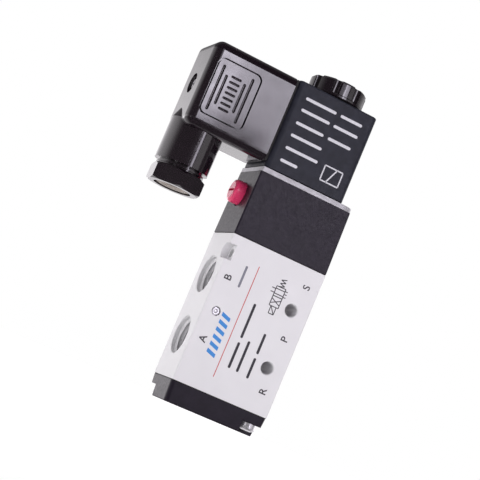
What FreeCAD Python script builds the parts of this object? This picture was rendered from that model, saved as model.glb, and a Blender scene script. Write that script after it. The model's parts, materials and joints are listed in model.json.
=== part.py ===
"""Pilot-operated 5/2 solenoid directional valve with a single coil, for air.

Frame: +Z runs up the spool from the end cover to the coil, -Y is the printed face,
-X is the side of the two outlet ports, the manual override and the plug connector.
The origin is the centre of the end cover's bottom face.  Millimetres.
"""
import FreeCAD, Part
import math
import os

import Sketcher
from FreeCAD import Placement, Rotation, Vector

DRIVING_SIZES = (
    # alias, value, meaning
    ("body_wide", 35.0, "body width along X"),
    ("body_deep", 22.0, "body thickness along Y"),
    ("cover_top", 7.1, "height of the end cover"),
    ("gasket_thick", 0.3, "flat gaskets at both ends of the body"),
    ("body_top", 58.2, "top face of the valve body"),
    ("pilot_top", 80.7, "top face of the pilot body"),
    ("plate_top", 82.3, "top face of the flange plate"),
    ("coil_top", 113.6, "top face of the coil"),
    ("nut_top", 120.1, "top of the coil nut, the valve's full height"),
    ("edge_round", 0.5, "rounding of the long edges of the body"),
    ("bore_radius", 6.0, "spool bore"),
    ("groove_radius", 6.8, "annular grooves of the spool bore"),
    ("groove_half", 1.6, "half the width of an annular groove"),
    ("outlet_pitch", 10.8, "outlet port to supply port, along the spool"),
    ("exhaust_pitch", 18.4, "exhaust port to supply port, along the spool"),
    ("main_port_radius", 6.58, "quarter-inch taper thread, supply and outlets"),
    ("main_port_deep", 9.2, "depth of a main port"),
    ("exhaust_port_radius", 4.86, "eighth-inch taper thread, exhausts"),
    ("exhaust_port_deep", 8.7, "depth of an exhaust port"),
    ("mounting_radius", 2.15, "through holes across the body"),
    ("mounting_x", 10.9, "through holes from the centre plane"),
    ("mounting_pitch", 20.4, "distance between the two through holes"),
    ("manifold_radius", 1.55, "manifold screw hole and its blind twin"),
    ("manifold_side", 8.4, "manifold screw holes from the centre plane"),
    ("manifold_rise", 6.0, "manifold screw holes from the end faces"),
    ("peg_deep", 12.0, "depth of the lower manifold hole"),
    ("pocket_half", 2.7, "half width of the manifold screw's pocket"),
    ("pocket_deep", 2.6, "depth of the manifold screw's pocket"),
    ("stroke", 3.0, "travel of the spool and piston"),
    ("spool_neck", 3.9, "radius of the spool between lands"),
    ("seal_wire", 0.9, "radius of the spool seals' section"),
    ("piston_radius", 7.9, "pilot piston"),
    ("cylinder_radius", 8.0, "pilot cylinder"),
    ("cylinder_top", 66.4, "ceiling of the pilot cylinder"),
    ("screw_radius", 1.5, "M3 screws"),
    ("end_screw_x", 13.3, "end cover screws from the centre"),
    ("end_screw_y", 7.7, "end cover screws from the centre"),
    ("pilot_screw_x", 13.3, "pilot screws from the centre"),
    ("pilot_screw_y", 7.6, "pilot screws from the centre"),
    ("tapped_deep", 4.1, "depth of the tapped holes in the body"),
    ("gallery_x", 12.8, "pilot air gallery from the centre"),
    ("gallery_y", 8.6, "pilot air gallery from the centre"),
    ("gallery_radius", 0.8, "pilot air gallery"),
    ("override_rise", 72.4, "height of the manual override"),
    ("override_radius", 4.0, "manual override button"),
    ("override_travel", 1.5, "push of the manual override"),
    ("button_out", 20.9, "outer face of the button from the centre"),
    ("tube_radius", 4.7, "armature tube, outside"),
    ("tube_bore", 4.2, "armature tube, inside"),
    ("tube_top", 113.0, "top of the armature tube"),
    ("plunger_radius", 4.12, "plunger"),
    ("plunger_lift", 1.0, "travel of the plunger"),
    ("coil_left", 16.8, "coil's connector face from the tube's axis"),
    ("coil_right", 13.3, "coil's far face from the tube's axis"),
    ("coil_round", 1.8, "rounding of the coil's upright edges"),
    ("plug_left", 47.5, "connector's outer face from the tube's axis"),
    ("plug_right", 17.7, "connector's inner face from the tube's axis"),
    ("plug_low", 83.75, "underside of the connector"),
    ("plug_high", 113.7, "top of the connector"),
    ("plug_round", 3.0, "rounding of the connector's edges"),
    ("plug_screw_rise", 98.6, "height of the connector's screw"),
    ("gland_x", 39.7, "cable gland's axis from the tube's axis"),
    ("gland_radius", 9.3, "cable gland's outlet"),
    ("gland_low", 71.8, "lower end of the gland's outlet"),
    ("hex_low", 64.3, "lower face of the gland nut"),
    ("hex_high", 70.1, "upper face of the gland nut"),
    ("hex_flats", 17.0, "gland nut across flats"),
    ("gland_seat", 65.6, "shoulder inside the gland nut"),
    ("spigot_low", 66.2, "lower end of the gland's threaded spout"),
    ("cable_radius", 3.2, "cable hole of the grommet"),
    ("nut_radius", 10.3, "coil nut"),
)

document = FreeCAD.newDocument("SolenoidValve")
sheet = document.addObject("Spreadsheet::Sheet", "Sizes")


class Size:
    """A length with both its value and the sheet expression that gives it."""

    def __init__(self, text, value):
        self.text = text
        self.value = value

    def join(self, other, sign, value, swap=False):
        left, right = (other, self) if swap else (self, other)
        return Size(f"({expression(left)} {sign} {expression(right)})", value)

    def __add__(self, other):
        return self.join(other, "+", self.value + number(other))

    def __radd__(self, other):
        return self.join(other, "+", number(other) + self.value, swap=True)

    def __sub__(self, other):
        return self.join(other, "-", self.value - number(other))

    def __rsub__(self, other):
        return self.join(other, "-", number(other) - self.value, swap=True)

    def __mul__(self, other):
        return self.join(other, "*", self.value * number(other))

    def __rmul__(self, other):
        return self.join(other, "*", number(other) * self.value, swap=True)

    def __truediv__(self, other):
        return self.join(other, "/", self.value / number(other))

    def __neg__(self):
        return Size(f"(0 - {self.text})", -self.value)


def expression(length):
    return length.text if isinstance(length, Size) else f"({float(length)!r})"


def number(length):
    return length.value if isinstance(length, Size) else float(length)


class Sizes:
    """The sheet's cells by alias."""


def fill_sheet():
    sizes = Sizes()
    for row, (alias, value, meaning) in enumerate(DRIVING_SIZES, start=1):
        sheet.set(f"A{row}", alias)
        sheet.set(f"B{row}", str(value))
        sheet.set(f"C{row}", meaning)
        sheet.setAlias(f"B{row}", alias)
        setattr(sizes, alias, Size(f"Sizes.{alias}", value))
    document.recompute()
    return sizes


s = fill_sheet()
nodes = {}
half_wide = s.body_wide / 2
half_deep = s.body_deep / 2
body_low = s.cover_top + s.gasket_thick
body_mid = (body_low + s.body_top) / 2
pilot_low = s.body_top + s.gasket_thick
seal_fit = 0.05
countersink = 2.9
spring_room = 3.1
spring_pocket = 4.0

TURNS = {
    "+z": Rotation(),
    "-z": Rotation(Vector(1, 0, 0), 180),
    "+x": Rotation(Vector(0, 1, 0), 90),
    "-x": Rotation(Vector(0, 1, 0), -90),
    "+y": Rotation(Vector(1, 0, 0), -90),
    "-y": Rotation(Vector(1, 0, 0), 90),
}


# ---- building blocks ----------------------------------------------------------------

def drive(thing, name, length):
    """Sets a property to a length and binds it to the sheet."""
    if name in thing.PropertiesList:
        setattr(thing, name, number(length))
    if isinstance(length, Size):
        thing.setExpression(name, length.text)


def place(thing, at, axis="+z"):
    """Puts a thing at a point with its own Z along the axis."""
    thing.Placement = Placement(Vector(*[number(value) for value in at]), TURNS[axis])
    for letter, value in zip("xyz", at):
        drive(thing, f"Placement.Base.{letter}", value)
    return thing


def primitive(kind, lengths, at, axis="+z"):
    thing = document.addObject(f"Part::{kind}", kind)
    for name, length in lengths.items():
        drive(thing, name, length)
    return place(thing, at, axis)


def cylinder(radius, long, at, axis="+z"):
    return primitive("Cylinder", {"Radius": radius, "Height": long}, at, axis)


def cone(start_radius, end_radius, long, at, axis="+z"):
    lengths = {"Radius1": start_radius, "Radius2": end_radius, "Height": long}
    return primitive("Cone", lengths, at, axis)


def torus(ring_radius, wire_radius, at, axis="+z"):
    return primitive("Torus", {"Radius1": ring_radius, "Radius2": wire_radius}, at, axis)


def box(low, high):
    lengths = {name: end - start for name, start, end in zip(("Length", "Width", "Height"), low, high)}
    return primitive("Box", lengths, low)


def fuse(things):
    joined = document.addObject("Part::MultiFuse", "Joined")
    joined.Shapes = things
    joined.Refine = True
    return joined


def cut(base, tools):
    """The base less all the tools; every tool has to take something away."""
    joined = document.addObject("Part::Compound", "Tools")
    joined.Links = tools
    result = document.addObject("Part::Cut", "Machined")
    result.Base = base
    result.Tool = joined
    document.recompute()
    for tool in tools:
        if base.Shape.common(tool.Shape).Volume < 1e-6:
            raise RuntimeError(f"{tool.Name} cuts nothing from {base.Name}")
    return result


def group(things):
    grouped = document.addObject("Part::Compound", "Group")
    grouped.Links = things
    return grouped


def keep(label, thing):
    """Names a finished sub-part, which makes it a node."""
    thing.Label = label
    nodes[label] = thing
    return thing


def new_sketch(body, role, offset=0.0):
    """A sketch on one of the body's own planes, moved along that plane's normal."""
    sketch = body.newObject("Sketcher::SketchObject", "Sketch")
    plane = [feature for feature in body.Origin.OriginFeatures if feature.Role == role][0]
    sketch.AttachmentSupport = [(plane, "")]
    sketch.MapMode = "FlatFace"
    sketch.AttachmentOffset = Placement(Vector(0, 0, number(offset)), Rotation())
    drive(sketch, "AttachmentOffset.Base.z", offset)
    return sketch


def hold(sketch, kind, *place_and_value):
    """Adds a driving dimension and binds it to the sheet."""
    *where, length = place_and_value
    index = sketch.addConstraint(Sketcher.Constraint(kind, *where, number(length)))
    drive(sketch, f"Constraints[{index}]", length)


def draw_outline(sketch, points):
    """A closed outline of straight edges, with a dimension for each coordinate."""
    corners = [Vector(number(u), number(v), 0) for u, v in points]
    first = sketch.GeometryCount
    count = len(corners)
    for index in range(count):
        sketch.addGeometry(Part.LineSegment(corners[index], corners[(index + 1) % count]))
    for index in range(count):
        following = first + (index + 1) % count
        sketch.addConstraint(Sketcher.Constraint("Coincident", first + index, 2, following, 1))
    for index, (u, v) in enumerate(points):
        hold(sketch, "DistanceX", -1, 1, first + index, 1, u)
        hold(sketch, "DistanceY", -1, 1, first + index, 1, v)
    return sketch


def draw_circle(sketch, u, v, radius):
    centre = Vector(number(u), number(v), 0)
    index = sketch.addGeometry(Part.Circle(centre, Vector(0, 0, 1), number(radius)))
    hold(sketch, "Radius", index, radius)
    hold(sketch, "DistanceX", -1, 1, index, 3, u)
    hold(sketch, "DistanceY", -1, 1, index, 3, v)
    return sketch


def rectangle(low_u, high_u, low_v, high_v):
    return ((low_u, low_v), (high_u, low_v), (high_u, high_v), (low_u, high_v))


def new_body(name):
    return document.addObject("PartDesign::Body", name)


def turned(name, profile, at=(0, 0, 0), axis="+z"):
    """A body turned about its own Z from a profile of (radius, height) points."""
    body = new_body(name)
    sketch = draw_outline(new_sketch(body, "XZ_Plane"), profile)
    turn = body.newObject("PartDesign::Revolution", "Turned")
    turn.Profile = sketch
    turn.ReferenceAxis = (sketch, ["V_Axis"])
    turn.Angle = 360
    return place(body, at, axis)


def padded(name, outline, low, high):
    """A body with an upright outline between two heights."""
    body = new_body(name)
    sketch = draw_outline(new_sketch(body, "XY_Plane", low), outline)
    pad = body.newObject("PartDesign::Pad", "Pad")
    pad.Profile = sketch
    drive(pad, "Length", high - low)
    document.recompute()
    return body


def drafted(name, full_at, narrow_at, draft):
    """A block of the body's outline at one height that narrows by the draft on each side."""
    body = new_body(name)
    outline = rectangle(-half_wide, half_wide, -half_deep, half_deep)
    pad = body.newObject("PartDesign::Pad", "Pad")
    pad.Profile = draw_outline(new_sketch(body, "XY_Plane", full_at), outline)
    rise = number(narrow_at) - number(full_at)
    pad.Reversed = rise < 0
    drive(pad, "Length", narrow_at - full_at if rise > 0 else full_at - narrow_at)
    pad.TaperAngle = -math.degrees(math.atan2(draft, abs(rise)))
    document.recompute()
    narrow = [vertex.X for vertex in body.Shape.Vertexes if abs(vertex.Z - number(narrow_at)) < 1e-3]
    if abs(max(narrow) + draft - half_wide.value) > 1e-3:
        raise RuntimeError(f"{name} is drafted the wrong way: {max(narrow)}")
    return body


def soften(body, kind, radius, wanted):
    """Rounds or chamfers the edges of a body for which wanted(edge) is true."""
    tip = body.Tip
    names = [f"Edge{i + 1}" for i, edge in enumerate(tip.Shape.Edges) if wanted(edge)]
    if not names:
        raise RuntimeError(f"no edges to soften on {body.Name}")
    feature = body.newObject(f"PartDesign::{kind}", kind)
    feature.Base = (tip, names)
    drive(feature, "Radius" if kind == "Fillet" else "Size", radius)
    document.recompute()
    return body


def lowest(edge):
    return min(vertex.Z for vertex in edge.Vertexes)


def leftmost(edge):
    return min(vertex.X for vertex in edge.Vertexes)


def highest(edge):
    return max(vertex.Z for vertex in edge.Vertexes)


def upright(edge):
    """True for an edge that runs up along Z, or leans from it by a mould's draft."""
    ends = [vertex.Point for vertex in edge.Vertexes]
    if len(ends) != 2:
        return False
    span = ends[1] - ends[0]
    return abs(span.z) > 5 * (abs(span.x) + abs(span.y))


def spring(label, mean_radius, wire_radius, low, high, turns, at=(0, 0, 0), axis="+z"):
    """A round-wire coil spring whose ends lie at the two heights."""
    wire = number(wire_radius)
    bottom = number(low) + wire
    rise = number(high) - wire - bottom
    helix = Part.makeHelix(rise / turns, rise, number(mean_radius))
    helix.translate(Vector(0, 0, bottom))
    slope = math.atan2(rise / turns, 2 * math.pi * number(mean_radius))
    normal = Vector(0, math.cos(slope), math.sin(slope))
    section = Part.Wire([Part.Circle(Vector(number(mean_radius), 0, bottom), normal, wire).toShape()])
    feature = document.addObject("Part::Feature", "Spring")
    feature.Shape = Part.Wire(helix.Edges).makePipeShell([section], True, True)
    feature.Placement = Placement(Vector(*[number(value) for value in at]), TURNS[axis])
    return keep(label, feature)


# ---- valve body ---------------------------------------------------------------------

def port_tools(side, radius, deep, rise):
    """A port, its mouth chamfer and the slot that leads on to the spool bore."""
    axis = "+x" if side < 0 else "-x"
    face = half_wide * side
    chamfer = 0.15
    slot_high, slot_wide = 1.5, 4.6
    inner = (s.bore_radius - 1.5) * side
    floor = (half_wide - deep + 0.5) * side
    start, end = (floor, inner) if side < 0 else (inner, floor)
    return [
        cylinder(radius, deep, (face, 0, rise), axis),
        cone(radius + chamfer, radius, chamfer, (face, 0, rise), axis),
        box((start, -slot_wide, rise - slot_high), (end, slot_wide, rise + slot_high)),
    ]


def valve_body():
    block = padded("Block", rectangle(-half_wide, half_wide, -half_deep, half_deep), body_low, s.body_top)
    soften(block, "Fillet", s.edge_round, upright)
    tools = [cylinder(s.bore_radius, s.body_top - body_low, (0, 0, body_low))]
    for offset in (-s.exhaust_pitch, -s.outlet_pitch, 0.0, s.outlet_pitch, s.exhaust_pitch):
        low = body_mid + offset - s.groove_half
        tools.append(cylinder(s.groove_radius, s.groove_half * 2, (0, 0, low)))
    for offset in (-s.outlet_pitch, s.outlet_pitch):
        tools += port_tools(-1, s.main_port_radius, s.main_port_deep, body_mid + offset)
    tools += port_tools(1, s.main_port_radius, s.main_port_deep, body_mid)
    for offset in (-s.exhaust_pitch, s.exhaust_pitch):
        tools += port_tools(1, s.exhaust_port_radius, s.exhaust_port_deep, body_mid + offset)
    for offset in (-s.mounting_pitch / 2, s.mounting_pitch / 2):
        at = (s.mounting_x, -half_deep, body_mid + offset)
        tools.append(cylinder(s.mounting_radius, s.body_deep, at, "+y"))
        tools.append(cone(s.mounting_radius + 0.3, s.mounting_radius, 0.3, at, "+y"))
    upper = (-half_wide, -s.manifold_side, s.body_top - s.manifold_rise)
    lower = (half_wide, s.manifold_side, body_low + s.manifold_rise)
    tools.append(cylinder(s.manifold_radius, s.body_wide, upper, "+x"))
    tools.append(cylinder(s.manifold_radius, s.peg_deep, lower, "-x"))
    tools.append(cylinder(s.pocket_half, s.pocket_deep, upper, "+x"))
    left, middle, rise = upper
    pocket_low = (left, -half_deep, rise - s.pocket_half)
    pocket_high = (left + s.pocket_deep, middle, rise + s.pocket_half)
    tools.append(box(pocket_low, pocket_high))
    for side in (-1, 1):
        end_at = (s.end_screw_x * -side, s.end_screw_y * side, body_low)
        pilot_at = (s.pilot_screw_x * side, s.pilot_screw_y * side, s.body_top - s.tapped_deep)
        tools.append(cylinder(s.screw_radius, s.tapped_deep, end_at))
        tools.append(cylinder(s.screw_radius, s.tapped_deep, pilot_at))
    plug_radius, plug_seat = 1.55, 3.0
    plug_face, plug_collar, socket_radius, socket_low = 2.6, 1.0, 0.6, 2.1
    cross = (-s.gallery_x, -half_deep, body_mid)
    tools.append(cylinder(plug_radius, plug_seat, cross, "+y"))
    tools.append(cylinder(s.gallery_radius, half_deep + s.gallery_y, cross, "+y"))
    tools.append(cylinder(s.gallery_radius, s.gallery_x, (-s.gallery_x, 0, body_mid), "+x"))
    riser = (-s.gallery_x, s.gallery_y, body_mid)
    tools.append(cylinder(s.gallery_radius, s.body_top - body_mid, riser))
    keep("valve_body", cut(block, tools))

    rim = plug_radius - 0.02
    neck = rim - 0.36
    profile = (
        (0, 0), (rim, 0), (rim, plug_collar), (neck, plug_collar), (neck, plug_face),
        (socket_radius, plug_face), (socket_radius - 0.2, socket_low), (0, socket_low),
    )
    keep("gallery_plug", turned("Plug", profile, (-s.gallery_x, -half_deep + plug_seat, body_mid), "-y"))


# ---- end cover ----------------------------------------------------------------------

def end_screw_places(height):
    return [(s.end_screw_x * -side, s.end_screw_y * side, height) for side in (-1, 1)]


def end_cover():
    draft, notch_top, notch_radius, corner = 0.5, 3.9, 3.2, 1.4
    cover = drafted("Cover", s.cover_top, 0.0, draft)
    soften(cover, "Fillet", corner, upright)
    soften(cover, "Fillet", 0.4, lambda edge: highest(edge) < 0.1)
    tools = [cylinder(spring_room, spring_pocket, (0, 0, s.cover_top - spring_pocket))]
    for side, (x, y, z) in zip((-1, 1), end_screw_places(0.0)):
        tools.append(cylinder(s.screw_radius + 0.1, s.cover_top - notch_top, (x, y, z + notch_top)))
        outer_x = (half_wide + 1) * -side
        outer_y = (half_deep + 1) * side
        near_x = x + notch_radius * side
        near_y = y - notch_radius * side
        notch = [
            cylinder(notch_radius, notch_top, (x, y, z)),
            corner_box(x, outer_x, near_y, outer_y, notch_top),
            corner_box(near_x, outer_x, y, outer_y, notch_top),
        ]
        tools.append(fuse(notch))
    keep("end_cover", cut(cover, tools))


def corner_box(first_x, second_x, first_y, second_y, high):
    """A box from the floor between two pairs of sides given in any order."""
    low_x, high_x = sorted((first_x, second_x), key=number)
    low_y, high_y = sorted((first_y, second_y), key=number)
    return box((low_x, low_y, -1.0), (high_x, high_y, high))


def flat_gasket(label, low, hole_radius, screw_places, extra_holes=()):
    inset = 0.3
    sheet_body = padded(
        label.title(),
        rectangle(inset - half_wide, half_wide - inset, inset - half_deep, half_deep - inset),
        low,
        low + s.gasket_thick,
    )
    tools = [cylinder(hole_radius, s.gasket_thick, (0, 0, low))]
    for x, y, _ in screw_places:
        tools.append(cylinder(s.screw_radius + 0.15, s.gasket_thick, (x, y, low)))
    for x, y, radius in extra_holes:
        tools.append(cylinder(radius, s.gasket_thick, (x, y, low)))
    keep(label, cut(sheet_body, tools))


def cross_head_screw(at, axis, head_radius, head_high, shank_long, countersunk=False):
    """A cross-recessed screw; the point given is the centre of its head's outer face."""
    x, y, z = at
    step = -1 if axis.startswith("-") else 1
    letter = axis[1]

    def inward(depth):
        return (x + depth * step, y, z) if letter == "x" else (x, y, z + depth * step)

    crown, shoulder = 0.4, 1.0
    if countersunk:
        head = [cone(head_radius, s.screw_radius, head_high, at, axis)]
    else:
        head = [
            cone(head_radius * 0.55, head_radius * 0.86, crown, at, axis),
            cone(head_radius * 0.86, head_radius, shoulder - crown, inward(crown), axis),
            cylinder(head_radius, head_high - shoulder, inward(shoulder), axis),
        ]
    shank = cylinder(s.screw_radius - 0.02, shank_long, inward(head_high), axis)
    arm, slot, deep = head_radius * 0.5, 0.35, 0.9
    recess = []
    for across, along in ((arm, slot), (slot, arm)):
        if letter == "x":
            near, far = sorted((x, x + deep * step), key=number)
            recess.append(box((near, y - across, z - along), (far, y + across, z + along)))
        else:
            near, far = sorted((z, z + deep * step), key=number)
            recess.append(box((x - across, y - along, near), (x + across, y + along, far)))
    return cut(fuse(head + [shank]), [fuse(recess)])


def end_cover_screws():
    head_radius, head_high, seat = 2.9, 2.7, 3.9
    thread = s.cover_top + s.gasket_thick - seat + s.tapped_deep - 0.2
    places = end_screw_places(seat - head_high)
    screws = [cross_head_screw(at, "+z", head_radius, head_high, thread) for at in places]
    keep("end_cover_screws", group(screws))


# ---- spool and piston ---------------------------------------------------------------

def spool():
    shift = s.stroke / 2
    end = s.exhaust_pitch + 4.3
    closing, opening = 12.7, 9.2
    seals = [-end + shift, -closing + shift, -opening + shift, opening + shift, closing + shift, end + shift]
    low, high = body_mid - 22.6, s.body_top + 0.7
    guide = s.bore_radius - 0.08
    flank = s.bore_radius - 0.7
    groove_half, flank_half, groove_floor = 0.95, 1.4, 4.1
    profile = [(0, low), (guide, low)]
    for index, offset in enumerate(seals):
        middle = body_mid + offset
        outer = guide if index in (0, len(seals) - 1) else flank
        if index > 0:
            profile += [(s.spool_neck, middle - flank_half), (outer, middle - flank_half)]
        profile += [
            (outer, middle - groove_half),
            (groove_floor, middle - groove_half),
            (groove_floor, middle + groove_half),
            (outer, middle + groove_half),
        ]
        if index < len(seals) - 1:
            profile += [(outer, middle + flank_half), (s.spool_neck, middle + flank_half)]
    profile += [(guide, high), (0, high)]
    body = turned("Spool", profile)
    hollow = 12.0
    keep("spool", cut(body, [cylinder(spring_room, hollow, (0, 0, low))]))
    ring = s.bore_radius - seal_fit - s.seal_wire
    keep("spool_seals", group([torus(ring, s.seal_wire, (0, 0, body_mid + offset)) for offset in seals]))
    spring("return_spring", 2.4, 0.35, s.cover_top - spring_pocket + 0.05, low + hollow - 0.05, 8)


def pilot_piston():
    low, high, foot = 61.4, 66.0, s.body_top + 0.75
    seal_rise, seal_wire, seal_half = 64.5, 0.9, 0.95
    ring_low, ring_high = 62.0, 63.0
    seal_floor, ring_floor = s.piston_radius - 1.75, s.piston_radius - 0.8
    profile = (
        (0, foot), (4.2, foot), (4.5, foot + 0.3), (4.5, low), (s.piston_radius, low),
        (s.piston_radius, ring_low), (ring_floor, ring_low), (ring_floor, ring_high),
        (s.piston_radius, ring_high), (s.piston_radius, seal_rise - seal_half),
        (seal_floor, seal_rise - seal_half), (seal_floor, seal_rise + seal_half),
        (s.piston_radius, seal_rise + seal_half), (s.piston_radius, high), (3.0, high),
        (3.0, high + 0.3), (0, high + 0.3),
    )
    keep("pilot_piston", turned("Piston", profile))
    ring = s.cylinder_radius - seal_fit - seal_wire
    keep("piston_seal", torus(ring, seal_wire, (0, 0, seal_rise)))
    outer = s.cylinder_radius - 0.04
    wear_ring = rectangle(ring_floor, outer, ring_low + 0.02, ring_high - 0.02)
    keep("piston_wear_ring", turned("WearRing", wear_ring))


# ---- pilot --------------------------------------------------------------------------

def pilot_screw_places(height):
    return [(s.pilot_screw_x * side, s.pilot_screw_y * side, height) for side in (-1, 1)]


def pilot_body():
    block = drafted("PilotBlock", pilot_low, s.pilot_top, 0.3)
    soften(block, "Fillet", s.edge_round, upright)
    seat_floor, cavity_floor, flange_floor = 69.0, 75.0, 78.9
    feed = 69.6
    small, tiny = 0.8, 0.6
    bore_end = -7.4
    tools = [
        cylinder(s.cylinder_radius, s.cylinder_top - pilot_low, (0, 0, pilot_low)),
        cylinder(2.2, cavity_floor - seat_floor, (0, 0, seat_floor)),
        cylinder(4.6, flange_floor - cavity_floor, (0, 0, cavity_floor)),
        cylinder(7.6, s.pilot_top - flange_floor, (0, 0, flange_floor)),
        cut(cylinder(6.9, 1.2, (0, 0, flange_floor - 1.2)), [cylinder(5.3, 1.2, (0, 0, flange_floor - 1.2))]),
        cylinder(small, feed - pilot_low, (-s.gallery_x, s.gallery_y, pilot_low)),
        cylinder(tiny, s.gallery_x, (-s.gallery_x, s.gallery_y, feed), "+x"),
        cylinder(tiny, s.gallery_y, (0, 0, feed), "+y"),
        cylinder(tiny, cavity_floor - s.cylinder_top, (3.4, 0, s.cylinder_top)),
        cylinder(tiny, s.override_rise - s.cylinder_top, (-6.2, 0, s.cylinder_top)),
        cylinder(s.override_radius + 0.1, half_wide + bore_end, (-half_wide, 0, s.override_rise), "+x"),
        cone(s.override_radius + 0.6, s.override_radius + 0.1, 0.5, (-half_wide, 0, s.override_rise), "+x"),
        cylinder(1.7, 2.5, (bore_end, 0, s.override_rise), "+x"),
        cylinder(0.5, s.pilot_top - 69.4, (-14.9, 3.6, 69.4)),
    ]
    for x, y, z in pilot_screw_places(pilot_low):
        tools.append(cylinder(s.screw_radius + 0.1, s.pilot_top - pilot_low, (x, y, z)))
    keep("pilot_body", cut(block, tools))

    seat = turned(
        "Seat",
        ((0.55, 70.2), (2.18, 70.2), (2.18, 75.6), (1.1, 77.15), (0.55, 77.15)),
    )
    keep("orifice_seat", seat)
    keep("tube_seal", torus(6.1, 0.6, (0, 0, flange_floor - 0.6)))
    keep("override_pin", cylinder(0.49, s.pilot_top - 0.2 - 69.5, (-14.9, 3.6, 69.5)))


def override():
    """The button's own Z points inwards, along +X, from its outer face."""
    at = (-s.button_out, 0, s.override_rise)
    radius = s.override_radius
    pin_groove_start, pin_floor = 3.9, 3.0
    pin_groove_end = pin_groove_start + s.override_travel + 1.2
    seal_start, seal_half, seal_floor = 8.0, 0.85, 2.35
    inner, stem_radius, tip = 9.6, 1.5, 12.0
    profile = (
        (0, 0), (radius - 1.1, 0), (radius - 0.35, 0.3), (radius, 0.95), (radius, pin_groove_start),
        (pin_floor, pin_groove_start),
        (pin_floor, pin_groove_end), (radius, pin_groove_end), (radius, seal_start - seal_half),
        (seal_floor, seal_start - seal_half), (seal_floor, seal_start + seal_half),
        (radius, seal_start + seal_half), (radius, inner), (stem_radius, inner), (stem_radius, tip - 1),
        (0.5, tip), (0, tip),
    )
    button = turned("Button", profile, at, "+x")
    slot_half, slot_long, slot_deep = 0.4, 2.7, 1.0
    slot = box(
        (-s.button_out, -slot_long, s.override_rise - slot_half),
        (-s.button_out + slot_deep, slot_long, s.override_rise + slot_half),
    )
    keep("override_button", cut(button, [slot]))
    keep("override_seal", torus(3.15, 0.8, (-s.button_out + seal_start, 0, s.override_rise), "+x"))
    spring("override_spring", 2.55, 0.25, inner + 0.02, inner + 3.88, 3, at, "+x")


def pilot_screws():
    top = s.plate_top - 0.05
    head_high = 1.5
    long = top - head_high - (s.body_top - s.tapped_deep) - 0.2
    places = pilot_screw_places(top)
    screws = [cross_head_screw(at, "-z", countersink, head_high, long, countersunk=True) for at in places]
    keep("pilot_screws", group(screws))


def flange_plate():
    """Steel plate under the coil, with a rounded end that reaches just past the body."""
    thick = s.plate_top - s.pilot_top
    left, right, nose = -half_wide + 0.5, half_wide + 0.65, 4.5
    body = padded("Plate", rectangle(left, right, -half_deep, half_deep), s.pilot_top, s.plate_top)
    soften(body, "Fillet", nose, lambda edge: upright(edge) and edge.Vertexes[0].X > 0)
    soften(body, "Fillet", 0.3, lambda edge: upright(edge) and edge.Vertexes[0].X < -15)
    tools = [cylinder(s.tube_radius + 0.15, thick, (0, 0, s.pilot_top))]
    for x, y, z in pilot_screw_places(s.pilot_top):
        tools.append(cone(s.screw_radius + 0.1, countersink + 0.08, thick, (x, y, z)))
    keep("flange_plate", cut(body, tools))


# ---- armature -----------------------------------------------------------------------

def armature():
    flange_low, flange_high, flange_radius = 79.0, s.pilot_top - 0.05, 7.4
    tube = (
        (s.tube_bore, flange_low), (flange_radius, flange_low), (flange_radius, flange_high),
        (s.tube_radius, flange_high), (s.tube_radius, s.tube_top), (s.tube_bore, s.tube_top),
    )
    keep("armature_tube", turned("Tube", tube))
    core_low, core_radius, stud_radius = 101.0, s.tube_bore - 0.02, 3.9
    ring_in, ring_out, ring_high = 2.6, 3.3, 1.2
    core = (
        (0, core_low), (ring_in, core_low), (ring_in, core_low + ring_high), (ring_out, core_low + ring_high),
        (ring_out, core_low), (core_radius, core_low), (core_radius, s.tube_top), (stud_radius, s.tube_top),
        (stud_radius, s.nut_top - 1.0), (stud_radius - 0.5, s.nut_top - 0.5), (0, s.nut_top - 0.5),
    )
    keep("fixed_core", turned("Core", core))
    ring = rectangle(ring_in + 0.02, ring_out - 0.02, core_low + 0.1, core_low + ring_high - 0.02)
    keep("shading_ring", turned("ShadingRing", ring))
    plunger_low, seal_low, seal_high = 77.6, 77.2, 78.8
    plunger_high = core_low - s.plunger_lift - 0.1
    pocket_floor, pocket_radius = plunger_high - 8.0, 2.2
    plunger = (
        (0, seal_high), (2.0, seal_high), (2.0, plunger_low), (s.plunger_radius - 0.4, plunger_low),
        (s.plunger_radius, plunger_low + 0.4), (s.plunger_radius, plunger_high),
        (pocket_radius, plunger_high), (pocket_radius, pocket_floor), (0, pocket_floor),
    )
    keep("plunger", turned("Plunger", plunger))
    keep("plunger_seal", cylinder(1.98, seal_high - seal_low - 0.02, (0, 0, seal_low)))
    spring("plunger_spring", 1.6, 0.25, pocket_floor + 0.02, core_low - 0.02, 9)


# ---- coil ---------------------------------------------------------------------------

def blade_places():
    """Centre (y, z) and half sizes (y, z) of the two line blades and the earth blade."""
    high = s.plug_screw_rise + 2.9
    return (
        (-5.5, high, 0.4, 3.15),
        (5.5, high, 0.4, 3.15),
        (0.0, s.plug_screw_rise - 8.1, 3.15, 0.4),
    )


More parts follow.
